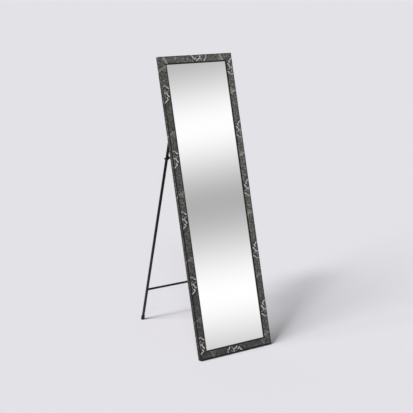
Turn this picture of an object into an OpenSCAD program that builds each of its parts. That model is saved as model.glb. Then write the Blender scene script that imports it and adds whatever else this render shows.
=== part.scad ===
// Floor mirror in a mitred moulding, propped by a folding stand with two hook stays

/* [Frame] */
// Length of the frame along its lean, mm
frame_length = 1550; // [1300:10:1800]
// Width of the frame, mm
frame_width = 435; // [380:5:600]
// Depth of the moulding from front to back, mm
frame_depth = 25; // [23:1:35]
// Width of the moulding seen from the front, mm
moulding_width = 43; // [42:1:55]
// Width of the sloping inner edge of the moulding, mm
bevel_width = 8; // [6:0.5:9]
// Drop of the sloping inner edge toward the glass, mm
bevel_drop = 3; // [2.5:0.5:8]
// Radius of the moulding's outer front corner, mm
corner_radius = 3; // [1:0.5:5]
// Lean of the frame back from upright, degrees
lean = 15.5; // [12:0.5:18]

/* [Mirror] */
// Thickness of the mirror glass, mm
glass_thickness = 4; // [3:0.5:5]
// Thickness of the board behind the glass, mm
board_thickness = 3; // [2:0.5:4]

/* [Stand] */
// Distance on the floor from the frame's lower edge back to the middle of the feet, mm
foot_spread = 657; // [560:1:740]
// Height of the leg pivots above the frame's lower edge, along the frame, mm
pivot_height = 1140; // [1000:5:1200]
// Distance of the leg pivots behind the frame's back, mm
pivot_stand_off = 14; // [13:0.5:18]
// Distance of the leg's middle from the frame's outer edge, mm
leg_inset = 22; // [19:0.5:22.5]
// Outer diameter of the leg tube, mm
leg_diameter = 15; // [13:0.5:15.5]
// Wall of the leg tube and the crossbar tube, mm
tube_wall = 1.2; // [0.8:0.1:1.8]
// Outer diameter of the crossbar, mm
crossbar_diameter = 12; // [8:0.5:12.5]
// Distance of the crossbar from the floor, along the leg, mm
crossbar_height = 205; // [120:1:400]
// Length of the rubber foot cap, mm
foot_cap_length = 26; // [22:1:45]

/* [Stays] */
// Distance of the stay bolt from the leg pivot, mm
stay_radius = 117; // [105:1:150]
// Width of the stay bar, mm
stay_width = 8; // [7:0.5:10]
// Thickness of the stay bar, mm
stay_thickness = 2.5; // [2:0.25:3]

/* [Hidden] */
// Gaps between pieces
contact_gap = 0.15;
turning_gap = 0.05;
side_gap = 0.2;
glass_edge_gap = 1;

// Moulding
lip_thickness = 1.5;
rebate_width = 9;
glass_depth = bevel_drop + lip_thickness;
flat_width = moulding_width - bevel_width;
rebate_edge = moulding_width - rebate_width;
half_width = frame_width / 2;
glass_inset = rebate_edge + glass_edge_gap;
glass_front = glass_depth - frame_depth;
board_front = glass_front + glass_thickness;
board_back = board_front + board_thickness;

// Flat steel points that hold the board
point_length = 15;
point_width = 8;
point_thickness = 0.8;
point_bite = 7;
point_end_gap = 90;
points_per_side = 5;
points_per_end = 2;

// V-shaped wedges across the back of the mitres
wedge_arm = 6;
wedge_thickness = 0.8;
wedge_depth = 10;
wedge_half_angle = 40;
wedge_places = [10, 19];
mitre_turn = 135;

// Screws of the brackets
screw_shank = 3.5;
screw_head = 7;
screw_length = 16;
screw_tip = 4;
screw_tip_radius = 0.45;
recess_span = 4;
recess_width = 0.9;
recess_depth = 1.3;

// Hinge brackets, pressed from sheet
sheet = 2;
lug_thickness = 3;
lug_side_gap = 0.5;
lug_radius = 7;
ear_radius = 8;
ear_gap = lug_thickness + 2 * lug_side_gap;
hinge_width = ear_gap + 2 * sheet;
hinge_bend = 1.5;
hinge_plate_width = 18;
hinge_screw_reach = 22;

// Bolts and their lock nuts
bolt_radius = 2.5;
bolt_head_radius = 4.75;
bolt_head_height = 2.75;
nut_across_corners = 9.24;
nut_height = 4;
bolt_end = 1.2;
key_span = 3;
key_depth = 1.6;
cap_nut_hex_height = 4.5;
cap_nut_dome_radius = 4;
cap_nut_bore_depth = 6;

// Leg
leg_radius = leg_diameter / 2;
taper_start = 12;
taper_length = 14;
cap_wall = 2.25;
cap_floor = 5;
cap_radius = leg_radius + cap_wall;
cap_lip = 1;

// Stay, its bracket and rivet
stay_gap = 2.2;
pivot_rise = 16;
eye_radius = 6.5;
rivet_radius = 2;
rivet_head_radius = 3.5;
rivet_head_height = 1.6;
arm_turn = 7;
band_extra_turn = 8;
tooth_width = 6;
tooth_below = 6;
tooth_above = 8;
round_blend = 0.06;
spacer_radius = 4;
stay_ear_radius = 7;
stay_plate_width = 16;
stay_plate_length = 44;
stay_screw_reach = 15;
stay_plate_corner = 3;

// Places that follow from the sizes above
leg_x = half_width - leg_inset;
stay_outer_x = leg_x - leg_radius - stay_gap;
stay_inner_x = stay_outer_x - stay_thickness;
ear_outer_x = stay_inner_x - side_gap;
ear_inner_x = ear_outer_x - sheet;
stay_screw_x = ear_outer_x + (stay_plate_width - sheet) / 2;
stay_pivot_drop = stay_radius - pivot_rise;

// Leg pivot in the standing mirror, measured from the frame's lower back edge
pivot_y = pivot_stand_off * cos(lean) + pivot_height * sin(lean);
pivot_z = pivot_height * cos(lean) - pivot_stand_off * sin(lean);
leg_tilt = atan((foot_spread - pivot_y) / pivot_z);
leg_reach = pivot_z / cos(leg_tilt);
open_angle = lean + leg_tilt;

// The origin is on the floor, halfway between the frame's front and the back of the feet
front_y = (corner_radius - frame_depth) * cos(lean) + corner_radius * (sin(lean) - 1);
rear_y = foot_spread + cap_radius / cos(leg_tilt);
middle_shift = -(front_y + rear_y) / 2;

// Stay outline, seen from the side with the leg pivot at its origin
stay_outer_radius = stay_radius - bolt_radius - contact_gap;
stay_inner_radius = stay_outer_radius - stay_width;
stay_mid_radius = (stay_outer_radius + stay_inner_radius) / 2;
bolt_y = stay_radius * sin(open_angle);
bolt_z = -stay_radius * cos(open_angle);
tooth_reach = norm([bolt_y, bolt_z + stay_pivot_drop]);
tooth_inner = tooth_reach + bolt_radius + contact_gap;
tooth_mid = tooth_inner + tooth_width / 2;
tooth_outer = tooth_inner + tooth_width;
bolt_turn = atan2(bolt_z + stay_pivot_drop, bolt_y);
tooth_low = bolt_turn - asin(tooth_below / tooth_mid);
tooth_high = bolt_turn + asin(tooth_above / tooth_mid);
band_end = open_angle + band_extra_turn;
arm_y = stay_mid_radius * sin(arm_turn);
arm_z = -stay_mid_radius * cos(arm_turn) + stay_pivot_drop;

cut_extra = 1;
far_away = 400;
$fn = 64;

// Places the leaning frame's own space on the floor
module leaning() {
    translate([0, middle_shift, 0])
        rotate([-lean, 0, 0])
            children();
}

// Places things drawn along a leg, with the leg pivot at the origin and the leg running down
module along_leg() {
    translate([0, middle_shift + pivot_y, pivot_z])
        rotate([leg_tilt, 0, 0])
            children();
}

// Side 1 is the right side seen from the front, side -1 the left
module on_side(side) {
    mirror([side < 0 ? 1 : 0, 0, 0])
        children();
}

// Turns a side view, drawn as back and up, so that its thickness runs to the right
module side_view() {
    rotate([90, 0, 90])
        children();
}

// Turns a piece drawn upward so that it points to the right
module pointing_right() {
    rotate([0, 90, 0])
        children();
}

// Section of the moulding, from its outer edge inward and from front to back
module moulding_section() {
    polygon([[corner_radius, 0], [flat_width, 0], [moulding_width, bevel_drop],
        [moulding_width, glass_depth], [rebate_edge, glass_depth], [rebate_edge, frame_depth],
        [0, frame_depth], [0, corner_radius]]);
    translate([corner_radius, corner_radius])
        circle(r = corner_radius);
}

// One mitred length of moulding, its outer edge standing on the vertical axis
module mitred_length(length) {
    intersection() {
        linear_extrude(height = length)
            moulding_section();
        translate([0, frame_depth + cut_extra, 0])
            rotate([90, 0, 0])
                linear_extrude(height = frame_depth + 2 * cut_extra)
                    polygon([[0, 0], [moulding_width, moulding_width],
                        [moulding_width, length - moulding_width], [0, length]]);
    }
}

// One flat point, driven into the rebate wall toward the frame's outer edge
module retaining_point() {
    translate([-point_bite, 0, -point_width / 2])
        cube([point_length, point_thickness, point_width]);
}

module side_points() {
    span = frame_length - 2 * point_end_gap;
    for (side = [-1, 1], n = [0 : points_per_side - 1])
        on_side(side)
            translate([-half_width + rebate_edge, board_back,
                point_end_gap + n * span / (points_per_side - 1)])
                retaining_point();
}

module end_points() {
    for (low = [0, 1], n = [0 : points_per_end - 1])
        translate([(n - (points_per_end - 1) / 2) * half_width / points_per_end, board_back,
            low == 1 ? rebate_edge : frame_length - rebate_edge])
            rotate([0, low == 1 ? -90 : 90, 0])
                retaining_point();
}

module all_points() {
    side_points();
    end_points();
}

// One V-shaped wedge, its point toward the middle of the frame along the mitre
module corner_wedge() {
    rotate([90, 0, 0])
        linear_extrude(height = wedge_depth)
            for (arm = [-1, 1])
                rotate(180 + arm * wedge_half_angle)
                    translate([-wedge_thickness / 2, -wedge_thickness / 2])
                        square([wedge_arm, wedge_thickness]);
}

module all_wedges() {
    for (side = [-1, 1], high = [0, 1], place = wedge_places)
        on_side(side)
            translate([half_width - place, 0, high == 1 ? frame_length - place : place])
                rotate([0, high == 1 ? mitre_turn : -mitre_turn, 0])
                    corner_wedge();
}

// One countersunk screw, its head's face at the origin and its tip toward the front
module screw_body() {
    rotate([90, 0, 0]) {
        cylinder(r1 = screw_head / 2, r2 = screw_shank / 2, h = sheet);
        cylinder(d = screw_shank, h = screw_length - screw_tip);
        translate([0, 0, screw_length - screw_tip])
            cylinder(r1 = screw_shank / 2, r2 = screw_tip_radius, h = screw_tip);
    }
}

module screw_recess() {
    for (turn = [0, 90])
        rotate([0, turn, 0])
            translate([-recess_span / 2, -recess_depth, -recess_width / 2])
                cube([recess_span, recess_depth + cut_extra, recess_width]);
}

module at_screws() {
    for (side = [-1, 1], end = [-1, 1])
        on_side(side) {
            translate([leg_x, sheet, pivot_height + end * hinge_screw_reach])
                children();
            translate([stay_screw_x, sheet,
                pivot_height - stay_pivot_drop + end * stay_screw_reach])
                children();
        }
}

// Everything that is let into the moulding from behind
module frame_cuts() {
    all_points();
    all_wedges();
    at_screws()
        screw_body();
}

module upright_member(side) {
    on_side(-side)
        translate([-half_width, -frame_depth, 0])
            mitred_length(frame_length);
}

module top_member() {
    translate([-half_width, -frame_depth, frame_length])
        pointing_right()
            mitred_length(frame_width);
}

module bottom_member() {
    translate([-half_width, -frame_depth, 0])
        mirror([0, 0, 1])
            pointing_right()
                mitred_length(frame_width);
}

module frame_top() {
    color("dimgray")
        leaning()
            difference() {
                top_member();
                frame_cuts();
            }
}

module frame_bottom() {
    color("dimgray")
        leaning()
            difference() {
                bottom_member();
                frame_cuts();
            }
}

module frame_left() {
    color("dimgray")
        leaning()
            difference() {
                upright_member(-1);
                frame_cuts();
            }
}

module frame_right() {
    color("dimgray")
        leaning()
            difference() {
                upright_member(1);
                frame_cuts();
            }
}

module corner_wedges() {
    color("silver")
        leaning()
            all_wedges();
}

// A flat sheet that fills the rebate, from the given depth
module rebate_sheet(front, thickness) {
    translate([-half_width + glass_inset, front, glass_inset])
        cube([frame_width - 2 * glass_inset, thickness, frame_length - 2 * glass_inset]);
}

module mirror_glass() {
    color("lightsteelblue")
        leaning()
            rebate_sheet(glass_front, glass_thickness);
}

module backing_board() {
    color("peru")
        leaning()
            rebate_sheet(board_front, board_thickness);
}

module retaining_points() {
    color("silver")
        leaning()
            all_points();
}

// Channel of the hinge bracket seen from above, its web on the frame's back
module hinge_channel() {
    difference() {
        union() {
            translate([-hinge_width / 2, hinge_bend])
                square([hinge_width, pivot_stand_off + ear_radius]);
            translate([hinge_bend - hinge_width / 2, 0])
                square([hinge_width - 2 * hinge_bend, hinge_bend]);
            for (edge = [-1, 1])
                translate([edge * (hinge_width / 2 - hinge_bend), hinge_bend])
                    circle(r = hinge_bend);
        }
        translate([-ear_gap / 2, sheet])
            square([ear_gap, pivot_stand_off + 2 * ear_radius]);
    }
}

// Outline of the hinge bracket's ears seen from the side
module hinge_ear_outline() {
    translate([-cut_extra, -ear_radius])
        square([pivot_stand_off + cut_extra, 2 * ear_radius]);
    translate([pivot_stand_off, 0])
        circle(r = ear_radius);
}

module hinge_ears() {
    intersection() {
        translate([0, 0, -ear_radius])
            linear_extrude(height = 2 * ear_radius)
                hinge_channel();
        translate([-hinge_width / 2 - cut_extra, 0, 0])
            side_view()
                linear_extrude(height = hinge_width + 2 * cut_extra)
                    hinge_ear_outline();
    }
}

// Plate against the frame's back, with round ends around its two screws
module hinge_plate() {
    translate([0, sheet, 0])
        rotate([90, 0, 0])
            linear_extrude(height = sheet) {
                for (end = [-1, 1])
                    translate([0, end * hinge_screw_reach])
                        circle(r = hinge_plate_width / 2);
                translate([-hinge_plate_width / 2, -hinge_screw_reach])
                    square([hinge_plate_width, 2 * hinge_screw_reach]);
            }
}

module hinge_bracket(side) {
    color("#202020")
        leaning()
            difference() {
                on_side(side)
                    translate([leg_x, 0, pivot_height])
                        difference() {
                            union() {
                                hinge_plate();
                                hinge_ears();
                            }
                            translate([-hinge_width, pivot_stand_off, 0])
                                pointing_right()
                                    cylinder(r = bolt_radius, h = 2 * hinge_width);
                        }
                at_screws()
                    screw_body();
            }
}

module hinge_bracket_left() {
    hinge_bracket(-1);
}

module hinge_bracket_right() {
    hinge_bracket(1);
}

// Ear of the stay bracket seen from the side
module stay_ear_outline() {
    difference() {
        union() {
            translate([0, -stay_ear_radius])
                square([pivot_stand_off, 2 * stay_ear_radius]);
            translate([pivot_stand_off, 0])
                circle(r = stay_ear_radius);
        }
        translate([pivot_stand_off, 0])
            circle(r = rivet_radius);
    }
}

// Plate of the stay bracket with two rounded corners
module stay_plate() {
    corner_x = stay_plate_width - stay_plate_corner;
    corner_z = stay_plate_length / 2 - stay_plate_corner;
    translate([0, sheet, 0])
        rotate([90, 0, 0])
            linear_extrude(height = sheet) {
                translate([0, -stay_plate_length / 2])
                    square([corner_x, stay_plate_length]);
                translate([0, -corner_z])
                    square([stay_plate_width, 2 * corner_z]);
                for (end = [-1, 1])
                    translate([corner_x, end * corner_z])
                        circle(r = stay_plate_corner);
            }
}

module stay_bracket(side) {
    color("#202020")
        leaning()
            difference() {
                on_side(side)
                    translate([ear_inner_x, 0, pivot_height - stay_pivot_drop]) {
                        stay_plate();
                        side_view()
                            linear_extrude(height = sheet)
                                stay_ear_outline();
                    }
                at_screws()
                    screw_body();
            }
}

module stay_bracket_left() {
    stay_bracket(-1);
}

module stay_bracket_right() {
    stay_bracket(1);
}

module bracket_screws() {
    color("#303030")
        leaning()
            at_screws()
                difference() {
                    screw_body();
                    screw_recess();
                }
}

// Low domed head, its flat face at the origin
module domed_head(radius, height) {
    dome = (radius * radius + height * height) / (2 * height);
    intersection() {
        translate([0, 0, height - dome])
            sphere(r = dome);
        cylinder(r = 2 * radius, h = height);
    }
}

module key_socket(height) {
    translate([0, 0, height - key_depth])
        cylinder(r = key_span / sqrt(3), h = key_depth + cut_extra, $fn = 6);
}

module lock_nut() {
    difference() {
        cylinder(d = nut_across_corners, h = nut_height, $fn = 6);
        translate([0, 0, -cut_extra])
            cylinder(r = bolt_radius, h = nut_height + 2 * cut_extra);
    }
}

// Nut with a closed dome, its open face at the origin
module cap_nut() {
    difference() {
        union() {
            cylinder(d = nut_across_corners, h = cap_nut_hex_height, $fn = 6);
            translate([0, 0, cap_nut_hex_height])
                sphere(r = cap_nut_dome_radius);
        }
        translate([0, 0, -cut_extra])
            cylinder(r = bolt_radius, h = cap_nut_bore_depth + cut_extra);
    }
}

// Domed bolt head with its key socket, its flat face at the origin
module bolt_head() {
    difference() {
        domed_head(bolt_head_radius, bolt_head_height);
        key_socket(bolt_head_height);
    }
}

module hinge_bolts() {
    color("#303030")
        leaning()
            for (side = [-1, 1])
                on_side(side)
                    translate([leg_x, pivot_stand_off, pivot_height])
                        pointing_right() {
                            translate([0, 0, -hinge_width / 2 - nut_height - bolt_end])
                                cylinder(r = bolt_radius, h = hinge_width + nut_height + bolt_end);
                            translate([0, 0, hinge_width / 2])
                                bolt_head();
                        }
}

module hinge_nuts() {
    color("silver")
        leaning()
            for (side = [-1, 1])
                on_side(side)
                    translate([leg_x - hinge_width / 2 - nut_height, pivot_stand_off, pivot_height])
                        pointing_right()
                            lock_nut();
}

module stay_rivets() {
    color("silver")
        leaning()
            for (side = [-1, 1])
                on_side(side)
                    translate([0, pivot_stand_off, pivot_height - stay_pivot_drop]) {
                        translate([ear_inner_x, 0, 0])
                            pointing_right()
                                cylinder(r = rivet_radius, h = stay_outer_x + side_gap - ear_inner_x);
                        translate([stay_outer_x + side_gap, 0, 0])
                            pointing_right()
                                domed_head(rivet_head_radius, rivet_head_height);
                        translate([ear_inner_x, 0, 0])
                            rotate([0, -90, 0])
                                domed_head(rivet_head_radius, rivet_head_height);
                    }
}

// Flattened top end of the leg: a flat lug that swells into the round tube
module leg_lug() {
    translate([-lug_thickness / 2, 0, 0])
        side_view()
            linear_extrude(height = lug_thickness) {
                circle(r = lug_radius);
                translate([-lug_radius, -taper_start])
                    square([2 * lug_radius, taper_start]);
            }
    translate([0, 0, -taper_start - taper_length])
        intersection() {
            cylinder(r1 = leg_radius, r2 = lug_radius, h = taper_length);
            translate([0, far_away / 2, 0])
                rotate([90, 0, 0])
                    linear_extrude(height = far_away)
                        polygon([[-leg_radius, 0], [leg_radius, 0],
                            [lug_thickness / 2, taper_length], [-lug_thickness / 2, taper_length]]);
        }
}

module leg(side) {
    tube_start = taper_start + taper_length;
    tube_end = leg_reach - cap_floor;
    color("#181818")
        along_leg()
            on_side(side)
                translate([leg_x, 0, 0])
                    difference() {
                        union() {
                            leg_lug();
                            translate([0, 0, -tube_end])
                                cylinder(r = leg_radius, h = tube_end - tube_start);
                        }
                        translate([0, 0, -tube_end - cut_extra])
                            cylinder(r = leg_radius - tube_wall,
                                h = tube_end - tube_start + cut_extra);
                        translate([-leg_radius, 0, 0])
                            pointing_right()
                                cylinder(r = bolt_radius + turning_gap, h = leg_diameter);
                        translate([-leg_diameter, 0, -stay_radius])
                            pointing_right()
                                cylinder(r = bolt_radius, h = 2 * leg_diameter);
                    }
}

module leg_left() {
    leg(-1);
}

module leg_right() {
    leg(1);
}

// Crossbar tube, its ends cut to sit on the round legs
module crossbar() {
    color("#181818")
        along_leg()
            translate([0, 0, crossbar_height - leg_reach])
                difference() {
                    translate([-leg_x, 0, 0])
                        pointing_right()
                            difference() {
                                cylinder(d = crossbar_diameter, h = 2 * leg_x);
                                translate([0, 0, -cut_extra])
                                    cylinder(r = crossbar_diameter / 2 - tube_wall,
                                        h = 2 * (leg_x + cut_extra));
                            }
                    for (side = [-1, 1])
                        translate([side * leg_x, 0, -leg_diameter])
                            cylinder(r = leg_radius, h = 2 * leg_diameter);
                }
}

// Rubber cap, cut level so that it stands flat on the floor when the stand is open
module foot_cap(side) {
    color("black")
        difference() {
            along_leg()
                on_side(side)
                    translate([leg_x, 0, -leg_reach]) {
                        difference() {
                            translate([0, 0, -cap_radius])
                                cylinder(r = cap_radius, h = foot_cap_length + cap_radius - cap_lip);
                            translate([0, 0, cap_floor])
                                cylinder(r = leg_radius, h = foot_cap_length);
                        }
                        translate([0, 0, foot_cap_length - cap_lip])
                            difference() {
                                cylinder(r1 = cap_radius, r2 = cap_radius - cap_lip, h = cap_lip);
                                translate([0, 0, -cut_extra])
                                    cylinder(r = leg_radius, h = cap_lip + 2 * cut_extra);
                            }
                    }
            translate([-far_away, -frame_length, -far_away])
                cube([2 * far_away, 2 * frame_length, far_away]);
        }
}

module foot_cap_left() {
    foot_cap(-1);
}

module foot_cap_right() {
    foot_cap(1);
}

module stay_bolts() {
    inner_face = stay_inner_x - side_gap;
    shank_end = leg_x + leg_radius + cap_nut_bore_depth;
    color("#303030")
        along_leg()
            for (side = [-1, 1])
                on_side(side)
                    translate([inner_face, 0, -stay_radius]) {
                        pointing_right()
                            cylinder(r = bolt_radius, h = shank_end - inner_face);
                        rotate([0, -90, 0])
                            bolt_head();
                    }
}

// Spacers between the legs and the stays, hollowed to sit on the round tube
module stay_spacers() {
    color("#303030")
        along_leg()
            for (side = [-1, 1])
                on_side(side)
                    translate([0, 0, -stay_radius])
                        difference() {
                            translate([stay_outer_x + side_gap, 0, 0])
                                pointing_right()
                                    difference() {
                                        cylinder(r = spacer_radius,
                                            h = leg_x - stay_outer_x - side_gap);
                                        translate([0, 0, -cut_extra])
                                            cylinder(r = bolt_radius, h = leg_x);
                                    }
                            translate([leg_x, 0, -leg_diameter])
                                cylinder(r = leg_radius, h = 2 * leg_diameter);
                        }
}

// Domed nuts of the stay bolts, on the outer sides of the legs
module stay_nuts() {
    color("#101010")
        along_leg()
            for (side = [-1, 1])
                on_side(side)
                    translate([leg_x + leg_radius, 0, -stay_radius])
                        pointing_right()
                            cap_nut();
}

// Part of a ring between two turns, both measured from the back and upward
module ring_part(inner, outer, from, to) {
    reach = 2 * outer;
    middle = (from + to) / 2;
    intersection() {
        difference() {
            circle(r = outer);
            circle(r = inner);
        }
        polygon([[0, 0], reach * [cos(from), sin(from)], reach * [cos(middle), sin(middle)],
            reach * [cos(to), sin(to)]]);
    }
}

// Curved bar along which the stay bolt slides, ending inside the hook's tooth
module stay_band() {
    intersection() {
        translate([0, stay_pivot_drop])
            ring_part(stay_inner_radius, stay_outer_radius, arm_turn - 90, band_end - 90);
        circle(r = tooth_mid);
    }
}

// Tooth that stops the stay bolt, curved around the stay's own pivot
module stay_tooth() {
    ring_part(tooth_inner, tooth_outer, tooth_low, tooth_high);
    for (turn = [tooth_low, tooth_high])
        translate(tooth_mid * [cos(turn), sin(turn)])
            circle(r = tooth_width / 2 + round_blend);
}

// Eye around the stay's pivot and the short arm from it to the curved bar
module stay_arm() {
    circle(r = eye_radius);
    rotate(atan2(arm_z, arm_y))
        translate([0, -stay_width / 2])
            square([norm([arm_y, arm_z]), stay_width]);
    translate([arm_y, arm_z])
        circle(r = stay_width / 2 + round_blend);
}

module stay(side) {
    color("#181818")
        leaning()
            on_side(side)
                translate([stay_inner_x, pivot_stand_off, pivot_height - stay_pivot_drop])
                    side_view()
                        linear_extrude(height = stay_thickness)
                            difference() {
                                union() {
                                    stay_arm();
                                    stay_band();
                                    stay_tooth();
                                }
                                circle(r = rivet_radius + turning_gap);
                            }
}

module stay_left() {
    stay(-1);
}

module stay_right() {
    stay(1);
}

frame_top();
frame_bottom();
frame_left();
frame_right();
corner_wedges();
mirror_glass();
backing_board();
retaining_points();
hinge_bracket_left();
hinge_bracket_right();
stay_bracket_left();
stay_bracket_right();
bracket_screws();
hinge_bolts();
hinge_nuts();
stay_rivets();
leg_left();
leg_right();
crossbar();
foot_cap_left();
foot_cap_right();
stay_bolts();
stay_spacers();
stay_nuts();
stay_left();
stay_right();
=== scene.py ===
"""Floor mirror in a printed stone moulding, leaning on a black folding stand, dressed for a render."""

import math

import bpy
from mathutils import Matrix, Vector


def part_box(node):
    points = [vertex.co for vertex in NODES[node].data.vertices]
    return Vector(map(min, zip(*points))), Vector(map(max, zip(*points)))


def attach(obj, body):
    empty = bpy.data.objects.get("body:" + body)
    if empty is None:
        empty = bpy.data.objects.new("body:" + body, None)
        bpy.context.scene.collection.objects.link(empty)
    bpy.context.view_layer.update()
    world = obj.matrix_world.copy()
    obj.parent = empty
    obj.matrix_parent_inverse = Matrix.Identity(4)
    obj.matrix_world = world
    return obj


bl_info = {
    "name": "Floor Mirror Dressing",
    "version": (1, 0, 0),
    "blender": (4, 5, 0),
    "location": "View3D > Sidebar > Floor Mirror",
    "description": "Gives the floor mirror its printed moulding, glass, metal and studio",
    "category": "Object",
}

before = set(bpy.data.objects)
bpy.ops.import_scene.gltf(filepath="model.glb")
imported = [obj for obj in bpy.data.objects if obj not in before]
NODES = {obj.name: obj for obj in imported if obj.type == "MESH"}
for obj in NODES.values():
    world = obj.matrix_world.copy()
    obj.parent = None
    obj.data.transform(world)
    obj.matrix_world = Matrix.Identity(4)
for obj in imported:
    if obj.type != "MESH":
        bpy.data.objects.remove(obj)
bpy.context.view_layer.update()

# Leaning space of the frame: its lower back edge is at the origin, and its length runs up
LEAN = math.radians(15.5)
FRAME_LENGTH = 1.55
FRAME_DEPTH = 0.025
FRAME_HALF_WIDTH = -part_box("frame_bottom")[0].x
FLOOR_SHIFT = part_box("frame_top")[1].y - FRAME_LENGTH * math.sin(LEAN)
CORNER_RADIUS = 0.003
REBATE_EDGE = 0.034

# Mirror glass: how far its face lies behind the moulding's face, and half its width and length
GLASS_DEPTH = 0.0045
GLASS_HALF_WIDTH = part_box("mirror_glass")[1].x
GLASS_HALF_LENGTH = FRAME_LENGTH / 2 - (FRAME_HALF_WIDTH - GLASS_HALF_WIDTH)

# Legs and crossbar
LEG_X = 0.1955
LEG_RADIUS = 0.0075
LEG_TILT = math.radians(17.2)
BAR_RADIUS = 0.006
BAR_MIDDLE = sum(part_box("crossbar"), Vector()) / 2


# Settings that a user would change

class MouldingLook(bpy.types.PropertyGroup):
    print_width: bpy.props.FloatProperty(
        name="Print width", description="Width of the print, measured from the frame's outer edge",
        default=0.036, min=0.02, max=0.06, unit="LENGTH")
    long_repeat: bpy.props.FloatProperty(
        name="Long repeat", description="Length of the longer patch of the printed stone",
        default=0.333, min=0.1, max=0.6, unit="LENGTH")
    short_repeat: bpy.props.FloatProperty(
        name="Short repeat", description="Length of the shorter patch of the printed stone",
        default=0.31, min=0.1, max=0.6, unit="LENGTH")
    stone: bpy.props.FloatVectorProperty(
        name="Stone", description="Main colour of the printed stone",
        default=(0.0945, 0.0932, 0.0892), min=0, max=1, size=3, subtype="COLOR")
    warm_stone: bpy.props.FloatVectorProperty(
        name="Warm stone", description="Colour of the browner clouds in the printed stone",
        default=(0.101, 0.0943, 0.084), min=0, max=1, size=3, subtype="COLOR")
    vein: bpy.props.FloatVectorProperty(
        name="Vein", description="Colour of the pale veins",
        default=(0.86, 0.86, 0.83), min=0, max=1, size=3, subtype="COLOR")
    edge_black: bpy.props.FloatVectorProperty(
        name="Edge black", description="Colour of the sloping inner edge and the outer corner line",
        default=(0.004, 0.004, 0.0039), min=0, max=1, size=3, subtype="COLOR")
    raw_board: bpy.props.FloatVectorProperty(
        name="Raw board", description="Colour of the unwrapped back of the moulding",
        default=(0.29, 0.19, 0.115), min=0, max=1, size=3, subtype="COLOR")


class GlassLook(bpy.types.PropertyGroup):
    silver: bpy.props.FloatVectorProperty(
        name="Silver", description="Colour of the mirror's reflection",
        default=(0.955, 0.96, 0.957), min=0, max=1, size=3, subtype="COLOR")
    glass_edge: bpy.props.FloatVectorProperty(
        name="Glass edge", description="Colour of the sheet's ground edges",
        default=(0.16, 0.3, 0.25), min=0, max=1, size=3, subtype="COLOR")
    board: bpy.props.FloatVectorProperty(
        name="Backing board", description="Colour of the board behind the glass",
        default=(0.2, 0.115, 0.062), min=0, max=1, size=3, subtype="COLOR")


class MetalLook(bpy.types.PropertyGroup):
    coat: bpy.props.FloatVectorProperty(
        name="Black coat", description="Colour of the satin powder coat",
        default=(0.0045, 0.0045, 0.0048), min=0, max=1, size=3, subtype="COLOR")
    # Painted light: the paler tint of the stand towards the floor, where its upper part lies in the frame's
    # shade
    low_light_tint: bpy.props.FloatVectorProperty(
        name="Low light tint", description="Colour of the fine dust on the lower half of the stand",
        default=(0.032, 0.032, 0.033), min=0, max=1, size=3, subtype="COLOR")
    rubber: bpy.props.FloatVectorProperty(
        name="Rubber", description="Colour of the foot caps",
        default=(0.007, 0.007, 0.007), min=0, max=1, size=3, subtype="COLOR")
    dark_steel: bpy.props.FloatVectorProperty(
        name="Dark steel", description="Colour of the blackened bolts and screws",
        default=(0.03, 0.03, 0.032), min=0, max=1, size=3, subtype="COLOR")
    zinc: bpy.props.FloatVectorProperty(
        name="Zinc", description="Colour of the plated nuts, rivets, points and wedges",
        default=(0.6, 0.6, 0.58), min=0, max=1, size=3, subtype="COLOR")
    bead: bpy.props.FloatProperty(
        name="Weld bead", description="Height of the weld bead around each end of the crossbar",
        default=0.0014, min=0.0005, max=0.003, unit="LENGTH")


class StudioLook(bpy.types.PropertyGroup):
    backdrop: bpy.props.FloatVectorProperty(
        name="Backdrop", description="Colour of the floor and of the pale background",
        default=(0.761, 0.753, 0.791), min=0, max=1, size=3, subtype="COLOR")
    side_light: bpy.props.FloatProperty(
        name="Side light", description="Strength of the large soft light from the left",
        default=3.26, min=0, max=10)
    high_light: bpy.props.FloatProperty(
        name="High light", description="Strength of the smaller light above it",
        default=1.04, min=0, max=10)
    front_light: bpy.props.FloatProperty(
        name="Front light", description="Strength of the light from the camera's side",
        default=0.33, min=0, max=10)
    sky_light: bpy.props.FloatProperty(
        name="Sky light", description="Strength of the even light from all round",
        default=0.1, min=0, max=2)
    focal_length: bpy.props.FloatProperty(
        name="Focal length", description="Focal length of the camera on a 36 mm sensor, in millimetres",
        default=81.937, min=20, max=300)
    azimuth: bpy.props.FloatProperty(
        name="Azimuth", description="Turn of the camera to the left of the mirror's front",
        default=math.radians(31.26), subtype="ANGLE")
    elevation: bpy.props.FloatProperty(
        name="Elevation", description="Height angle from which the camera looks down",
        default=math.radians(14.55), subtype="ANGLE")


# Small helpers for node trees

def fill(tree, sockets, values):
    """Links or sets sockets by name or number; a colour may be given as three numbers."""
    for name, value in values.items():
        socket = sockets[name]
        if isinstance(value, bpy.types.NodeSocket):
            tree.links.new(value, socket)
        elif socket.type == "RGBA":
            socket.default_value = (*tuple(value)[:3], 1)
        else:
            socket.default_value = value


def put(tree, kind, values=None, **settings):
    """Adds a node with its settings, and fills its inputs."""
    made = tree.nodes.new(kind)
    for name, value in settings.items():
        setattr(made, name, value)
    fill(tree, made.inputs, values or {})
    return made


def calc(tree, operation, *values, clamp=False):
    """One step of arithmetic on numbers or sockets."""
    numbered = dict(enumerate(values))
    return put(tree, "ShaderNodeMath", numbered, operation=operation, use_clamp=clamp).outputs[0]


def product(tree, *values):
    """All the given numbers or sockets multiplied together."""
    result = values[0]
    for value in values[1:]:
        result = calc(tree, "MULTIPLY", result, value)
    return result


def graded(tree, value, slope, start):
    """A straight rise: slope times the value, plus start."""
    return calc(tree, "MULTIPLY_ADD", value, slope, start)


def swing(tree, value, size):
    """A value between 0 and 1 turned into a swing about 0, as long in all as size."""
    return graded(tree, value, size, -size / 2)


def vector_calc(tree, operation, *values, output="Vector"):
    """One step of arithmetic on vectors."""
    numbered = dict(enumerate(values))
    return put(tree, "ShaderNodeVectorMath", numbered, operation=operation).outputs[output]


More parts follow.
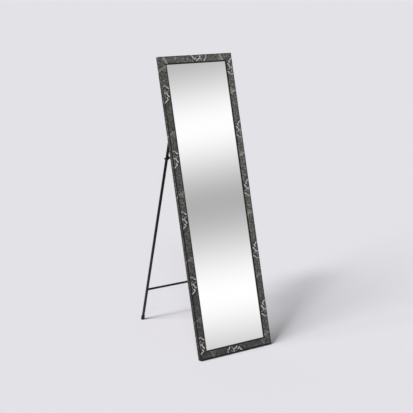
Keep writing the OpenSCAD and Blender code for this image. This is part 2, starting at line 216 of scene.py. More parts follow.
def scaled(tree, vector, factor):
    """A vector made longer by a factor."""
    made = put(tree, "ShaderNodeVectorMath", {0: vector, "Scale": factor}, operation="SCALE")
    return made.outputs["Vector"]


def separate(tree, vector):
    """The three numbers of a vector."""
    return put(tree, "ShaderNodeSeparateXYZ", {0: vector}).outputs


def mix_colour(tree, factor, first, second, blend="MIX"):
    """Mixes two colours, given as sockets or as three numbers."""
    made = put(tree, "ShaderNodeMix", data_type="RGBA", blend_type=blend)
    sockets = {socket.identifier: socket for socket in made.inputs}
    fill(tree, sockets, {"Factor_Float": factor, "A_Color": first, "B_Color": second})
    return next(socket for socket in made.outputs if socket.identifier == "Result_Color")


def multiplied(tree, first, second):
    """A colour multiplied by a colour or by a tone."""
    return mix_colour(tree, 1.0, first, second, "MULTIPLY")


def ramp(tree, factor, stops, mode):
    """A ramp through the given tones, as (place, tone)."""
    made = put(tree, "ShaderNodeValToRGB", {"Fac": factor})
    made.color_ramp.interpolation = mode
    elements = made.color_ramp.elements
    while len(elements) < len(stops):
        elements.new(0.5)
    for element, (place, tone) in zip(elements, stops):
        element.position = place
        element.color = (tone, tone, tone, 1)
    return made.outputs["Color"]


def noise(tree, place, scale, detail=2.0, roughness=0.5, distortion=0.0):
    """Cloudy noise between 0 and 1."""
    made = put(tree, "ShaderNodeTexNoise", {
        "Vector": place, "Scale": scale, "Detail": detail,
        "Roughness": roughness, "Distortion": distortion})
    return made.outputs[0]


def rising(tree, value, start, end, low=0.0, high=1.0):
    """low below start, high above end, and smooth between them."""
    made = put(tree, "ShaderNodeMapRange", {
        "Value": value, "From Min": start, "From Max": end, "To Min": low, "To Max": high},
        interpolation_type="SMOOTHSTEP")
    return made.outputs[0]


def falling(tree, value, start, end):
    """1 below start, 0 above end, and smooth between them."""
    return rising(tree, value, start, end, 1.0, 0.0)


def bump(tree, height, distance):
    """A normal from a height between 0 and 1, where 1 stands that distance proud, in metres."""
    return put(tree, "ShaderNodeBump", {"Height": height, "Distance": distance}).outputs["Normal"]


def object_place(tree):
    """Coordinates of the object, in metres."""
    return tree.nodes.new("ShaderNodeTexCoord").outputs["Object"]


def leaning_place(tree):
    """Coordinates along the leaning frame: across, from its back plane, and up its length."""
    made = put(tree, "ShaderNodeMapping", {
        "Vector": object_place(tree), "Location": (0, FLOOR_SHIFT, 0), "Rotation": (-LEAN, 0, 0)},
        vector_type="TEXTURE")
    return made.outputs["Vector"]


def new_group(name, inputs, outputs):
    """A shader node group with named inputs and outputs, as name and kind of socket."""
    tree = bpy.data.node_groups.new(name, "ShaderNodeTree")
    for way, sockets in (("INPUT", inputs), ("OUTPUT", outputs)):
        for title, kind in sockets.items():
            tree.interface.new_socket(title, in_out=way, socket_type="NodeSocket" + kind)
    return tree, tree.nodes.new("NodeGroupInput").outputs, tree.nodes.new("NodeGroupOutput").inputs


def use_effect(tree, name, values):
    """Adds a shared effect, which is built when it is first used, and gives its outputs."""
    group = bpy.data.node_groups.get(name) or EFFECTS[name](name)
    made = put(tree, "ShaderNodeGroup", node_tree=group)
    fill(tree, made.inputs, values)
    return made.outputs


def new_material(name):
    """A node material with its Principled shader and output, and nothing else."""
    material = bpy.data.materials.new(name)
    material.use_nodes = True
    tree = material.node_tree
    tree.nodes.clear()
    shader = tree.nodes.new("ShaderNodeBsdfPrincipled")
    put(tree, "ShaderNodeOutputMaterial", {"Surface": shader.outputs[0]})
    return material, tree, shader


# Shared effects

def grain_effect(name):
    """Fine, even speckle of a surface: a tone around 1, and a height."""
    tree, given, result = new_group(
        name, {"Place": "Vector", "Grain Scale": "Float", "Tone Spread": "Float"},
        {"Tone": "Float", "Height": "Float"})
    speckle = noise(tree, given["Place"], given["Grain Scale"], detail=3.0, roughness=0.6)
    tone = graded(tree, swing(tree, speckle, 2.0), given["Tone Spread"], 1.0)
    fill(tree, result, {"Tone": tone, "Height": speckle})
    return tree


def marks_effect(name):
    """Light handling marks: patches that are a little rougher, from 0 to 1."""
    tree, given, result = new_group(
        name, {"Place": "Vector", "Patch Scale": "Float"}, {"Mask": "Float"})
    broad = noise(tree, given["Place"], given["Patch Scale"], detail=4.0, roughness=0.65, distortion=0.4)
    fill(tree, result, {"Mask": rising(tree, broad, 0.42, 0.68)})
    return tree


def vein_effect(name):
    """A pale vein from one point of the print to another, in millimetres along and across it."""
    tree, given, result = new_group(
        name, {"Place": "Vector", "Start": "Vector", "End": "Vector", "Width": "Float"},
        {"Mask": "Float"})
    run = vector_calc(tree, "SUBTRACT", given["End"], given["Start"])
    here = vector_calc(tree, "SUBTRACT", given["Place"], given["Start"])
    share = calc(tree, "DIVIDE", vector_calc(tree, "DOT_PRODUCT", here, run, output="Value"),
                 vector_calc(tree, "DOT_PRODUCT", run, run, output="Value"), clamp=True)
    off = vector_calc(tree, "SUBTRACT", here, scaled(tree, run, share))
    away = vector_calc(tree, "LENGTH", off, output="Value")
    core = product(tree, given["Width"], 0.35)
    fill(tree, result, {"Mask": falling(tree, away, core, given["Width"])})
    return tree


# Veins of one patch, as (start, end, half width, strength), in millimetres along and inward
VEINS = (
    ((1, 1), (12.5, 15), 3.6, 1.0),
    ((12.5, 15), (19.5, 22.5), 2.8, 0.8),
    ((18, 23.5), (27, 17), 3.3, 1.0),
    ((31.5, 31), (38, 24.5), 3.8, 1.0),
    ((38, 24.5), (48, 19.5), 3.3, 0.9),
    ((51.5, 7), (52, 20), 3.2, 0.9),
    ((32, 10), (46, 9), 1.6, 0.35),
    ((52, 20), (59, 24), 2.3, 0.5),
    ((59, 24), (62.5, 35), 2.2, 0.45),
    ((55, 11), (61, 4), 1.9, 0.4),
    ((61, 4), (68, 14), 1.8, 0.35),
    ((74, 36), (77.5, 27), 3.4, 0.95),
    ((77.5, 27), (85, 21), 3.0, 0.75),
    ((85, 21), (90, 16), 2.2, 0.5),
    ((90, 16), (86, 3), 2.7, 0.75),
    ((143, 6), (151, 9), 4.0, 0.16),
    ((189, 20), (197, 12), 2.4, 0.12),
    ((197, 12), (208, 18), 2.4, 0.1),
)

# Dark hollows among the veins, given in the same way
HOLLOWS = (
    ((33, 16), (41, 12), 5.0, 0.75),
    ((67, 30), (72, 20), 5.0, 0.7),
    ((20, 26), (31, 35), 5.0, 0.6),
    ((76, 19), (79, 13), 3.5, 0.35),
    ((45, 33), (52, 34), 3.5, 0.3),
)

# Length of print that is drawn ahead of a patch, in millimetres, so that its first vein isn't cut
PATCH_LEAD = 20

# Tone of the stone along one patch, as (share of its length, tone)
STONE_TONES = (
    (0.0, 0.52), (0.004, 0.75), (0.27, 0.8), (0.32, 0.92), (0.37, 0.8), (0.46, 0.72),
    (0.6, 0.8), (0.78, 0.9), (0.89, 0.86), (0.93, 0.66), (0.985, 0.55), (1.0, 0.7),
)

# Paler tent between the veined patches: where its soft side, its rim and its sharp side lie, in
# millimetres along a patch, and how far the two sides slant for each millimetre across
TENT_SOFT = (166.0, 175.0)
TENT_RIM = (164.0, 171.0)
TENT_SHARP = (173.0, 177.0)
TENT_SOFT_SLANT = 0.35
TENT_SHARP_SLANT = -0.45


def patches(tree, slanted, look):
    """Place in millimetres within the patch that a point lies in, and the length of that patch."""
    long_repeat, short_repeat = look.long_repeat * 1000, look.short_repeat * 1000
    turned = calc(tree, "WRAP", slanted, long_repeat + short_repeat - PATCH_LEAD, -PATCH_LEAD)
    second = calc(tree, "GREATER_THAN", turned, long_repeat - PATCH_LEAD)
    after = calc(tree, "SUBTRACT", turned, product(tree, second, long_repeat))
    return after, graded(tree, second, short_repeat - long_repeat, long_repeat)


def strokes(tree, place, given):
    """The strongest of a list of strokes at each point of the print."""
    strongest = None
    for begin, end, width, strength in given:
        mask = use_effect(tree, "Stone Vein", {
            "Place": place, "Start": (*begin, 0), "End": (*end, 0), "Width": width})["Mask"]
        mask = product(tree, mask, strength)
        strongest = mask if strongest is None else calc(tree, "MAXIMUM", strongest, mask)
    return strongest


def stone_effect(name):
    """Printed stone along a moulding: slanting patches, veins, mottling and fine grain."""
    look = bpy.context.scene.moulding_look
    tree, given, result = new_group(
        name, {"Place": "Vector", "First Patch": "Float", "Tone": "Float"},
        {"Color": "Color", "Height": "Float"})
    place = scaled(tree, given["Place"], 1000.0)
    inward, depth, along = separate(tree, place)
    across = calc(tree, "SUBTRACT", inward, depth)

    # Patches that slant across the moulding, each with its own run of tones
    start = product(tree, given["First Patch"], 1000.0)
    slanted = calc(tree, "SUBTRACT", calc(tree, "SUBTRACT", along, start), across)
    wobble = swing(tree, noise(tree, place, 0.13, detail=3.0, roughness=0.55), 4.0)
    after, patch_length = patches(tree, calc(tree, "ADD", slanted, wobble), look)
    share = calc(tree, "DIVIDE", after, patch_length, clamp=True)
    shade = ramp(tree, share, STONE_TONES, "LINEAR")
    straight = calc(tree, "ADD", after, across)

    # The tent is brightest along its sharp slanting side
    soft_side = calc(tree, "MULTIPLY_ADD", across, TENT_SOFT_SLANT, straight)
    sharp_side = calc(tree, "MULTIPLY_ADD", across, TENT_SHARP_SLANT, straight)
    closed = falling(tree, sharp_side, *TENT_SHARP)
    tent = product(tree, rising(tree, soft_side, *TENT_SOFT), closed)
    rim = product(tree, rising(tree, sharp_side, *TENT_RIM), closed)
    lift = calc(tree, "MULTIPLY_ADD", rim, 1.8, tent)
    shade = product(tree, shade, calc(tree, "ADD", lift, 1.0))

    # Mottling and fine streaks across the moulding, as powers of two, smoother on the tent
    calm = graded(tree, tent, -0.6, 1.0)
    mottle = noise(tree, place, 0.13, detail=4.0, roughness=0.68, distortion=0.5)
    drawn_out = vector_calc(tree, "MULTIPLY", place, (0.06, 0.06, 0.3))
    streaks = noise(tree, drawn_out, 1.0, detail=3.0, roughness=0.6)
    spread = calc(tree, "ADD", swing(tree, mottle, 12.5), swing(tree, streaks, 4.0))
    shade = product(tree, shade, calc(tree, "POWER", 2.0, product(tree, spread, calm)))

    # Grain, and dark flecks
    grain = use_effect(tree, "Fine Grain", {"Place": place, "Grain Scale": 1.3, "Tone Spread": 0.5})
    specks = noise(tree, place, 0.17, detail=1.0, roughness=0.5, distortion=0.3)
    flecks = product(tree, falling(tree, specks, 0.38, 0.46), calm)
    shade = product(tree, shade, grain["Tone"], graded(tree, flecks, -0.66, 1.08))

    # Veins and the hollows among them, on a plane that two finer noises bend
    bend = swing(tree, noise(tree, place, 0.26), 4.0)
    ragged = swing(tree, noise(tree, place, 0.7, detail=3.0, roughness=0.7), 3.4)
    drawn = put(tree, "ShaderNodeCombineXYZ", {
        "X": calc(tree, "ADD", straight, ragged),
        "Y": calc(tree, "ADD", across, calc(tree, "ADD", bend, ragged))}).outputs[0]
    broken = rising(tree, noise(tree, place, 0.42, detail=3.0, roughness=0.6), 0.28, 0.55)
    veins = product(tree, strokes(tree, drawn, VEINS), graded(tree, broken, 0.5, 0.36))
    hollows = strokes(tree, drawn, HOLLOWS)
    shade = product(tree, shade, calc(tree, "SUBTRACT", 1.0, hollows), given["Tone"])

    clouds = noise(tree, place, 0.021, detail=2.0, roughness=0.5, distortion=0.3)
    stone = mix_colour(tree, rising(tree, clouds, 0.4, 0.62), look.stone, look.warm_stone)
    colour = mix_colour(tree, veins, multiplied(tree, stone, shade), look.vein)
    height = calc(tree, "MULTIPLY_ADD", grain["Height"], 0.4, product(tree, mottle, 0.6))
    fill(tree, result, {"Color": colour, "Height": height})
    return tree


def fibre_effect(name):
    """Pressed wood fibres: a tone around 1, and a height."""
    tree, given, result = new_group(
        name, {"Place": "Vector", "Fibre Scale": "Float"}, {"Tone": "Float", "Height": "Float"})
    ways = []
    for stretch in ((1.0, 1.0, 0.22), (0.22, 1.0, 1.0)):
        drawn_out = vector_calc(tree, "MULTIPLY", given["Place"], stretch)
        ways.append(noise(tree, drawn_out, given["Fibre Scale"], detail=4.0, roughness=0.65, distortion=0.8))
    fibres = product(tree, calc(tree, "ADD", *ways), 0.5)
    broad = noise(tree, given["Place"], 9.0, detail=3.0, roughness=0.55)
    tone = calc(tree, "ADD", graded(tree, fibres, 1.5, 0.25), swing(tree, broad, 0.3))
    fine = use_effect(tree, "Fine Grain", {
        "Place": given["Place"], "Grain Scale": 2400.0, "Tone Spread": 0.14})
    fill(tree, result, {"Tone": product(tree, tone, fine["Tone"]), "Height": fibres})
    return tree


EFFECTS = {
    "Fine Grain": grain_effect,
    "Handling Marks": marks_effect,
    "Stone Vein": vein_effect,
    "Printed Stone": stone_effect,
    "Pressed Fibres": fibre_effect,
}


# Finishes

# Members of the frame: where the strip's outer corner starts, its turn, length, first patch and tone; the
# tone is painted light, brighter or darker as light falls on each member
MEMBERS = {
    "frame_left": ((-1, 0), 0, FRAME_LENGTH, -0.306, 0.94),
    "frame_top": ((-1, 1), 90, 2 * FRAME_HALF_WIDTH, -0.144, 1.3),
    "frame_right": ((1, 1), 180, FRAME_LENGTH, 0.0245, 1.3),
    "frame_bottom": ((1, 0), -90, 2 * FRAME_HALF_WIDTH, 0.182, 0.9),
}

# Heights along the frame between which the painted shade at the print's lower end fades out, and the corner
# line turns fainter
LOW_SHADE_FADE = (0.1 * FRAME_LENGTH, 0.55 * FRAME_LENGTH)
LINE_FAINTER = (0.74 * FRAME_LENGTH, 0.94 * FRAME_LENGTH)

# Borders between finishes, in metres
SIDE_BORDER = (0.0002, 0.0008)
LINE_BORDER = (CORNER_RADIUS + 0.0014, CORNER_RADIUS + 0.0026)
LINE_BACK_BORDER = (CORNER_RADIUS + 0.0016, CORNER_RADIUS + 0.0026)
SEAM_BORDER = (0.00015, 0.00045)
PRINT_BLUR = 0.0003
SKIN = 0.0001


def past(tree, value, border, blur=2 * SKIN):
    """1 from just short of a border on, and 0 before it."""
    return rising(tree, value, border - blur, border - SKIN)


def shaded_side(tree, strip, stone, above_low_shade):
    """The print on a member's side, with painted shade: darker than on the face and deeper in contrast,
    graded by height, with streaks drawn out along the moulding.
    """
    drawn_out = vector_calc(tree, "MULTIPLY", strip, (1.0, 1.0, 0.07))
    streak = calc(tree, "POWER", 2.0, swing(tree, noise(tree, drawn_out, 260.0), 8.0))
    side_shade = product(tree, streak, graded(tree, above_low_shade, -1.3, 4.2))
    return multiplied(tree, multiplied(tree, stone, stone), side_shade)


def corner_line(tree, inward, depth, length_up):
    """Black line on the rounded outer corner, fainter near the top."""
    line = product(tree, falling(tree, inward, *LINE_BORDER), falling(tree, depth, *LINE_BACK_BORDER))
    near_top = rising(tree, length_up, *LINE_FAINTER)
    return product(tree, line, graded(tree, near_top, -0.5, 1.0))


def mitre_seam(tree, inward, along, length):
    """Hairline where the mitres meet at both ends of a member."""
    near = calc(tree, "ABSOLUTE", calc(tree, "SUBTRACT", along, inward))
    far = calc(tree, "ABSOLUTE", calc(tree, "SUBTRACT", calc(tree, "SUBTRACT", length, along), inward))
    return falling(tree, calc(tree, "MINIMUM", near, far), *SEAM_BORDER)


def bare_board(tree, strip, inward, depth):
    """Where the foil ends: inside its ragged turned-over rim on the back, and in the rebate."""
    rim = graded(tree, noise(tree, strip, 90.0, detail=3.0), 0.0016, 0.0032)
    on_back = product(tree, past(tree, depth, FRAME_DEPTH), calc(tree, "GREATER_THAN", inward, rim))
    in_rebate = product(tree, past(tree, depth, GLASS_DEPTH), past(tree, inward, REBATE_EDGE))
    return calc(tree, "MAXIMUM", on_back, in_rebate)


def moulding_material(name, corner, turn, length, first_patch, tone):
    """Stone print on a member's face and sides, a black sloping edge, and a raw back."""
    look = bpy.context.scene.moulding_look
    material, tree, shader = new_material("printed_" + name)
    place = leaning_place(tree)
    origin = (corner[0] * FRAME_HALF_WIDTH, -FRAME_DEPTH, corner[1] * FRAME_LENGTH)
    strip = put(tree, "ShaderNodeMapping", {
        "Vector": place, "Location": origin, "Rotation": (0, math.radians(turn), 0)},
        vector_type="TEXTURE").outputs["Vector"]
    inward, depth, along = separate(tree, strip)

    # Painted shade: the print is darker towards the lower end of the frame, where less light falls
    length_up = separate(tree, place)["Z"]
    above_low_shade = rising(tree, length_up, *LOW_SHADE_FADE)
    stone = use_effect(tree, "Printed Stone", {
        "Place": strip, "First Patch": first_patch,
        # The member's tone and the fade with height are painted light and shade
        "Tone": product(tree, graded(tree, above_low_shade, 0.36, 0.64), tone)})
    side = falling(tree, inward, *SIDE_BORDER)
    # The sides get painted shade, darker than the face
    colour = mix_colour(tree, side, stone["Color"], shaded_side(tree, strip, stone["Color"], above_low_shade))

    # Black corner line and sloping inner edge, and the seams of the mitres
    line = corner_line(tree, inward, depth, length_up)
    slope = rising(tree, inward, look.print_width - PRINT_BLUR, look.print_width + PRINT_BLUR)
    black = calc(tree, "MAXIMUM", line, slope)
    colour = mix_colour(tree, black, colour, look.edge_black)
    seam = product(tree, mitre_seam(tree, inward, along, length), 0.85)
    colour = mix_colour(tree, seam, colour, (0.008, 0.008, 0.008))

    # Raw back
    bare = bare_board(tree, strip, inward, depth)
    fibres = use_effect(tree, "Pressed Fibres", {"Place": strip, "Fibre Scale": 420.0})
    flour = use_effect(tree, "Fine Grain", {"Place": strip, "Grain Scale": 1100.0, "Tone Spread": 0.3})
    raw = multiplied(tree, look.raw_board, flour["Tone"])
    raw = mix_colour(tree, 0.3, raw, multiplied(tree, raw, fibres["Tone"]))
    colour = mix_colour(tree, bare, colour, raw)

    marks = use_effect(tree, "Handling Marks", {"Place": strip, "Patch Scale": 14.0})
    roughness = graded(tree, marks["Mask"], 0.08, 0.36)
    roughness = calc(tree, "MULTIPLY_ADD", bare, 0.45, roughness)
    dull = calc(tree, "MAXIMUM", product(tree, side, 0.3), product(tree, line, 0.5))
    height = product(tree, stone["Height"], calc(tree, "SUBTRACT", 1.0, black))
    height = calc(tree, "MULTIPLY_ADD", fibres["Height"], bare, height)
    fill(tree, shader.inputs, {
        "Base Color": colour, "Roughness": calc(tree, "ADD", roughness, dull),
        "Specular IOR Level": 0.3, "Normal": bump(tree, height, 0.00006)})
    return material


def mirror_material(name):
    """Silvered glass: a clean reflection, with the sheet's edges ground and greenish."""
    look = bpy.context.scene.glass_look
    material, tree, shader = new_material(name)
    place = leaning_place(tree)
    across, _, length_up = separate(tree, place)
    side = past(tree, calc(tree, "ABSOLUTE", across), GLASS_HALF_WIDTH, 4 * SKIN)
    middle = calc(tree, "ABSOLUTE", calc(tree, "SUBTRACT", length_up, FRAME_LENGTH / 2))
    end = past(tree, middle, GLASS_HALF_LENGTH, 4 * SKIN)
    edge = calc(tree, "MAXIMUM", side, end)
    film = noise(tree, place, 3.0, detail=4.0, roughness=0.6, distortion=0.5)
    veil = mix_colour(tree, product(tree, film, 0.012), look.silver, (0.8, 0.8, 0.82))
    colour = mix_colour(tree, edge, veil, look.glass_edge)

    # The glass throws no patch of light on the floor, as in the photograph
    bounced = calc(tree, "GREATER_THAN", tree.nodes.new("ShaderNodeLightPath").outputs["Diffuse Depth"], 0.5)
    colour = mix_colour(tree, bounced, colour, (0.02, 0.02, 0.02))
    fill(tree, shader.inputs, {
        "Base Color": colour, "Roughness": product(tree, edge, 0.35),
        "Metallic": graded(tree, edge, -0.9, 1.0)})
    return material


def hardboard_material(name):
    """Brown hardboard with its fibres and the fine screen pattern of its rough side."""
    look = bpy.context.scene.glass_look
    material, tree, shader = new_material(name)
    place = leaning_place(tree)
    fibres = use_effect(tree, "Pressed Fibres", {"Place": place, "Fibre Scale": 300.0})
    parts = separate(tree, place)
    wire_gap = 0.0016
    wires = [calc(tree, "ABSOLUTE", calc(tree, "SINE", product(tree, parts[axis], math.pi / wire_gap)))
             for axis in ("X", "Z")]
    screen = product(tree, *wires)
    colour = multiplied(tree, look.board, fibres["Tone"])
    colour = mix_colour(tree, product(tree, screen, 0.22), colour, (0.32, 0.2, 0.12))
    height = calc(tree, "MULTIPLY_ADD", screen, 0.6, product(tree, fibres["Height"], 0.4))
    fill(tree, shader.inputs, {
        "Base Color": colour, "Roughness": 0.85, "Specular IOR Level": 0.25,
        "Normal": bump(tree, height, 0.00018)})
    return material


def worn_colour(tree, place, base, grain_scale, grain_spread, patch_scale, stain, stain_share):
    """A grainy colour with stained handling marks, with the grain and the mask of the marks."""
    grain = use_effect(tree, "Fine Grain", {
        "Place": place, "Grain Scale": grain_scale, "Tone Spread": grain_spread})
    marks = use_effect(tree, "Handling Marks", {"Place": place, "Patch Scale": patch_scale})["Mask"]
    colour = multiplied(tree, base, grain["Tone"])
    return mix_colour(tree, product(tree, marks, stain_share), colour, stain), grain, marks


def coated_material(name):
    """Satin black powder coat with a fine orange peel, and painted light that makes it paler towards the
    floor.
    """
    look = bpy.context.scene.metal_look
    material, tree, shader = new_material(name)
    place = object_place(tree)
    colour, grain, marks = worn_colour(
        tree, place, look.coat, grain_scale=1500.0, grain_spread=0.35, patch_scale=26.0,
        stain=(0.009, 0.009, 0.0095), stain_share=0.3)
    # Painted light: the coat turns paler towards the floor, as the upper stand lies in the frame's shade
    low = falling(tree, separate(tree, place)["Z"], 0.25, 0.85)
    low_light_share = product(tree, low, grain["Tone"], 0.6)
    peel = noise(tree, place, 620.0)
    fill(tree, shader.inputs, {
        "Base Color": mix_colour(tree, low_light_share, colour, look.low_light_tint),
        "Roughness": graded(tree, marks, 0.1, 0.4), "Specular IOR Level": 0.16,
        "Normal": bump(tree, peel, 0.00003)})
    return material


def rubber_material(name):
    """Black rubber: matt, with a fine moulded texture and a few paler scuffs."""
    material, tree, shader = new_material(name)
    colour, grain, marks = worn_colour(
        tree, object_place(tree), bpy.context.scene.metal_look.rubber, grain_scale=2200.0,
        grain_spread=0.4, patch_scale=70.0, stain=(0.014, 0.014, 0.0135), stain_share=0.4)
    fill(tree, shader.inputs, {
        "Base Color": colour, "Roughness": graded(tree, marks, 0.2, 0.42),
        "Specular IOR Level": 0.2, "Normal": bump(tree, grain["Height"], 0.00005)})
    return material


def steel_material(name, tint, polish, stain):
    """Plated or blackened steel with faint stains and a fine tooled grain."""
    material, tree, shader = new_material(name)
    colour, grain, marks = worn_colour(
        tree, object_place(tree), tint, grain_scale=2600.0, grain_spread=0.18, patch_scale=160.0,
        stain=stain, stain_share=0.35)
    fill(tree, shader.inputs, {
        "Base Color": colour, "Roughness": graded(tree, marks, 0.18, polish), "Metallic": 1.0,
        "Normal": bump(tree, grain["Height"], 0.00002)})
    return material


def shared_material(name, maker, *given):
    """A material that is made when it is first asked for."""
    return bpy.data.materials.get(name) or maker(name, *given)


def black_coat():
    """The coat that the stand, stays and brackets share."""
    return shared_material("satin_black_coat", coated_material)


def zinc_plate():
    """The plating that the points, wedges, nuts and rivets share."""
    zinc = bpy.context.scene.metal_look.zinc
    return shared_material("zinc_plate", steel_material, zinc, 0.3, (0.42, 0.42, 0.4))


def dress(material, *names):
    """Gives CAD nodes a material in place of their plain one."""
    for name in names:
        for material_slot in NODES[name].material_slots:
            material_slot.material = material


# Modelling helpers

def select_only(*pieces):
    """Selects the given pieces and nothing else, in object mode."""
    if bpy.context.mode != "OBJECT":
        bpy.ops.object.mode_set(mode="OBJECT")
    bpy.ops.object.select_all(action="DESELECT")
    for piece in pieces:
        piece.select_set(True)
        bpy.context.view_layer.objects.active = piece


def settle_piece(piece, name, body, material):
    """Names a piece, puts its place in its mesh, and lets it ride on a body."""
    select_only(piece)
    piece.name = name
    piece.data.name = name
    bpy.ops.object.transform_apply(location=True, rotation=True, scale=True)
    piece.data.materials.append(material)
    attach(piece, body)


def model_bead(height):
    """A ring around the crossbar's end, bent to the round of a leg that it faces away from."""
    select_only()
    bpy.ops.mesh.primitive_torus_add(
        major_radius=BAR_RADIUS, minor_radius=height, major_segments=96, minor_segments=16,
        rotation=(math.pi / 2, 0, 0))
    bead = bpy.context.object
    bpy.ops.object.transform_apply(location=False, rotation=True, scale=False)

    # The ring is stretched to the length that it has on the leg's round
    half_turn = math.asin(BAR_RADIUS / LEG_RADIUS)
    bpy.ops.object.mode_set(mode="EDIT")
    bpy.ops.mesh.select_all(action="SELECT")
    bpy.ops.transform.resize(value=(LEG_RADIUS * half_turn / BAR_RADIUS, 1, 1))
    bpy.ops.object.mode_set(mode="OBJECT")
    ripple = bpy.data.textures.new("weld_ripple", "CLOUDS")
    ripple.noise_scale = height
    bend = bead.dimensions.x / LEG_RADIUS
    for kind, settings in (
            ("DISPLACE", {"texture": ripple, "strength": height / 2, "mid_level": 0.5}),
            ("SIMPLE_DEFORM", {"deform_method": "BEND", "deform_axis": "Z", "angle": bend})):
        step = bead.modifiers.new(kind.title(), kind)
        for name, value in settings.items():
            setattr(step, name, value)
        bpy.ops.object.modifier_apply(modifier=step.name)
    bpy.ops.object.shade_smooth()
    return bead


# Operators

class FLOORMIRROR_OT_print_moulding(bpy.types.Operator):
    """Wraps the four members of the frame in the printed stone foil"""
    bl_idname = "floormirror.print_moulding"
    bl_label = "Print Moulding"

    def execute(self, context):
        for name, given in MEMBERS.items():
            dress(moulding_material(name, *given), name)
        return {"FINISHED"}


class FLOORMIRROR_OT_silver_glass(bpy.types.Operator):
    """Silvers the mirror glass"""
    bl_idname = "floormirror.silver_glass"
    bl_label = "Silver Glass"

    def execute(self, context):
        dress(mirror_material("silvered_glass"), "mirror_glass")
        return {"FINISHED"}


class FLOORMIRROR_OT_close_back(bpy.types.Operator):
    """Finishes the backing board and the points and wedges that hold the frame together"""
    bl_idname = "floormirror.close_back"
    bl_label = "Close Back"

    def execute(self, context):
        dress(hardboard_material("brown_hardboard"), "backing_board")
        dress(zinc_plate(), "retaining_points", "corner_wedges")
        return {"FINISHED"}


class FLOORMIRROR_OT_coat_stand(bpy.types.Operator):
    """Gives the legs, crossbar, stays and brackets their satin black coat"""
    bl_idname = "floormirror.coat_stand"
    bl_label = "Coat Stand"

    def execute(self, context):
        dress(black_coat(), "crossbar", "stay_spacers")
        for side in ("left", "right"):
            dress(black_coat(), "leg_" + side, "stay_" + side, "hinge_bracket_" + side,
                  "stay_bracket_" + side)
        return {"FINISHED"}


class FLOORMIRROR_OT_weld_crossbar(bpy.types.Operator):
    """Runs a weld bead around each end of the crossbar"""
    bl_idname = "floormirror.weld_crossbar"
    bl_label = "Weld Crossbar"

    def execute(self, context):
        bead = model_bead(context.scene.metal_look.bead)
        select_only(bead)
        bpy.ops.object.duplicate()
        tilt = Matrix.Rotation(LEG_TILT, 4, "X")
        for piece, name, side in ((bead, "weld_left", -1), (context.object, "weld_right", 1)):
            place = Matrix.Translation((side * (LEG_X - LEG_RADIUS), BAR_MIDDLE.y, BAR_MIDDLE.z))
            piece.matrix_world = place @ tilt @ Matrix.Rotation(-side * math.pi / 2, 4, "Z")
            settle_piece(piece, name, "stand", black_coat())
        return {"FINISHED"}


class FLOORMIRROR_OT_fit_caps(bpy.types.Operator):
    """Finishes the rubber caps on the feet"""
    bl_idname = "floormirror.fit_caps"
    bl_label = "Fit Foot Caps"

    def execute(self, context):
        dress(rubber_material("black_rubber"), "foot_cap_left", "foot_cap_right")
        return {"FINISHED"}


class FLOORMIRROR_OT_finish_fasteners(bpy.types.Operator):
    """Finishes the screws, bolts, nuts and rivets"""
    bl_idname = "floormirror.finish_fasteners"
    bl_label = "Finish Fasteners"

    def execute(self, context):
        tint = context.scene.metal_look.dark_steel
        dark = steel_material("blackened_steel", tint, 0.34, (0.03, 0.03, 0.032))
        dress(dark, "bracket_screws", "hinge_bolts", "stay_bolts", "stay_nuts")
        dress(zinc_plate(), "hinge_nuts", "stay_rivets")
        return {"FINISHED"}


class FLOORMIRROR_OT_build_studio(bpy.types.Operator):
    """Sets the pale floor, the soft lights, the studio that the glass reflects, and the camera"""
    bl_idname = "floormirror.build_studio"
    bl_label = "Build Studio"

    def execute(self, context):
        look = context.scene.studio_look
        lay_floor(look)
        hang_light("side_light", look.side_light, azimuth=182, elevation=34, softness=36)
        hang_light("high_light", look.high_light, azimuth=200, elevation=52, softness=9)
        hang_light("front_light", look.front_light, azimuth=239, elevation=42, softness=12)
        light_world(look)
        place_camera(look)
        context.scene.view_settings.view_transform = "Standard"
        return {"FINISHED"}


# Studio

# Brightness of the studio that the glass reflects, by the height of what it sees, as (height, tone)
STUDIO_TONES = (
    (-0.4, 0.76), (-0.123, 0.46), (-0.0336, 1.04), (0.0639, 0.46), (0.1451, 1.03), (0.2283, 0.46),
    (0.34, 0.76),
)
STUDIO_TILT = math.radians(10)

# Height above the horizon, as the sine of its angle, over which the bands fade in
HORIZON_FADE = 0.05

# Place of the camera, measured from the middle of the frame's lower back edge, in metres
CAMERA_PLACE = Vector((-2.48255, -3.80864, 1.95898))
FLOOR_SIZE = 300
VIEW_REACH = 400


def lay_floor(look):
    """A wide pale floor that reaches the horizon."""
    select_only()
    bpy.ops.mesh.primitive_plane_add(size=FLOOR_SIZE, location=(0, 0, 0))
    floor = bpy.context.object
    floor.name = "studio_floor"
    material, tree, shader = new_material("studio_floor")
    shade = graded(tree, noise(tree, object_place(tree), 6.0), 0.004, 0.998)
    fill(tree, shader.inputs, {
        "Base Color": multiplied(tree, look.backdrop, shade), "Roughness": 1.0, "Specular IOR Level": 0.0})
    floor.data.materials.append(material)


def hang_light(name, strength, azimuth, elevation, softness):
    """A soft distant light, from 180 on the left, 270 in front; the glass doesn't throw it on the floor."""
    select_only()
    bpy.ops.object.light_add(type="SUN", location=(0, 0, 3))
    lamp = bpy.context.object
    lamp.name = name
    lamp.data.energy = strength
    lamp.data.angle = math.radians(softness)
    lamp.data.cycles.use_multiple_importance_sampling = False
    turn, rise = math.radians(azimuth), math.radians(elevation)
    toward = Vector((math.cos(rise) * math.cos(turn), math.cos(rise) * math.sin(turn), math.sin(rise)))
    lamp.rotation_euler = toward.to_track_quat("Z", "Y").to_euler()


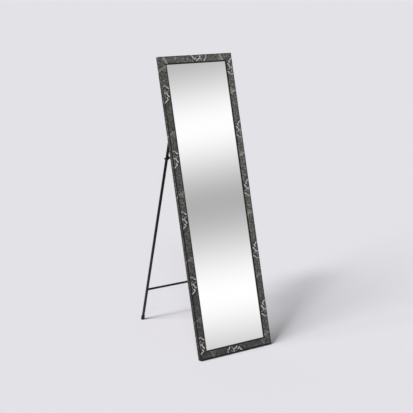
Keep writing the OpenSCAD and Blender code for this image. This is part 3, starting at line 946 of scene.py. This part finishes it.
def light_world(look):
    """Even light for the object, the pale backdrop for the camera, and soft bands for the glass."""
    world = bpy.data.worlds.new("studio")
    bpy.context.scene.world = world
    world.use_nodes = True
    tree = world.node_tree
    tree.nodes.clear()
    direction = tree.nodes.new("ShaderNodeTexCoord").outputs["Generated"]
    axis = (0, math.sin(STUDIO_TILT), math.cos(STUDIO_TILT))
    height = vector_calc(tree, "DOT_PRODUCT", direction, axis, output="Value")
    low, high = STUDIO_TONES[0][0], STUDIO_TONES[-1][0]
    share = calc(tree, "DIVIDE", calc(tree, "SUBTRACT", height, low), high - low, clamp=True)
    stops = [((place - low) / (high - low), tone) for place, tone in STUDIO_TONES]
    bands = ramp(tree, share, stops, "EASE")

    # Just above the horizon the bands fade into the colour of the floor
    above = rising(tree, separate(tree, direction)["Z"], 0.0, HORIZON_FADE)
    bands = mix_colour(tree, above, look.backdrop, bands)
    ray = tree.nodes.new("ShaderNodeLightPath").outputs
    seen = mix_colour(tree, ray["Is Camera Ray"], bands, look.backdrop)
    direct = calc(tree, "LESS_THAN", ray["Diffuse Depth"], 0.5)
    shown = calc(tree, "MAXIMUM", ray["Is Camera Ray"], product(tree, ray["Is Glossy Ray"], direct))
    colour = mix_colour(tree, shown, (look.sky_light,) * 3, seen)
    background = put(tree, "ShaderNodeBackground", {"Color": colour, "Strength": 1.0})
    put(tree, "ShaderNodeOutputWorld", {"Surface": background.outputs[0]})


def place_camera(look):
    """Camera at the photograph's viewing angle."""
    select_only()
    bpy.ops.object.camera_add(location=CAMERA_PLACE + Vector((0, FLOOR_SHIFT, 0)),
                              rotation=(math.pi / 2 - look.elevation, 0, -look.azimuth))
    camera = bpy.context.object
    camera.data.sensor_width = 36
    camera.data.lens = look.focal_length
    camera.data.clip_end = VIEW_REACH
    bpy.context.scene.camera = camera


class FLOORMIRROR_PT_panel(bpy.types.Panel):
    """Lists the steps that dress the floor mirror"""
    bl_idname = "FLOORMIRROR_PT_panel"
    bl_label = "Floor Mirror"
    bl_space_type = "VIEW_3D"
    bl_region_type = "UI"
    bl_category = "Floor Mirror"

    def draw(self, context):
        for step in STEPS:
            self.layout.operator(step.bl_idname)


STEPS = (
    FLOORMIRROR_OT_print_moulding,
    FLOORMIRROR_OT_silver_glass,
    FLOORMIRROR_OT_close_back,
    FLOORMIRROR_OT_coat_stand,
    FLOORMIRROR_OT_weld_crossbar,
    FLOORMIRROR_OT_fit_caps,
    FLOORMIRROR_OT_finish_fasteners,
    FLOORMIRROR_OT_build_studio,
)
LOOKS = {
    "moulding_look": MouldingLook,
    "glass_look": GlassLook,
    "metal_look": MetalLook,
    "studio_look": StudioLook,
}
CLASSES = (*LOOKS.values(), *STEPS, FLOORMIRROR_PT_panel)


def register():
    for kind in CLASSES:
        bpy.utils.register_class(kind)
    for name, kind in LOOKS.items():
        setattr(bpy.types.Scene, name, bpy.props.PointerProperty(type=kind))


def unregister():
    for name in LOOKS:
        delattr(bpy.types.Scene, name)
    for kind in reversed(CLASSES):
        bpy.utils.unregister_class(kind)


def main():
    register()
    for step in STEPS:
        group, name = step.bl_idname.split(".")
        getattr(getattr(bpy.ops, group), name)()


if __name__ == "__main__":
    main()
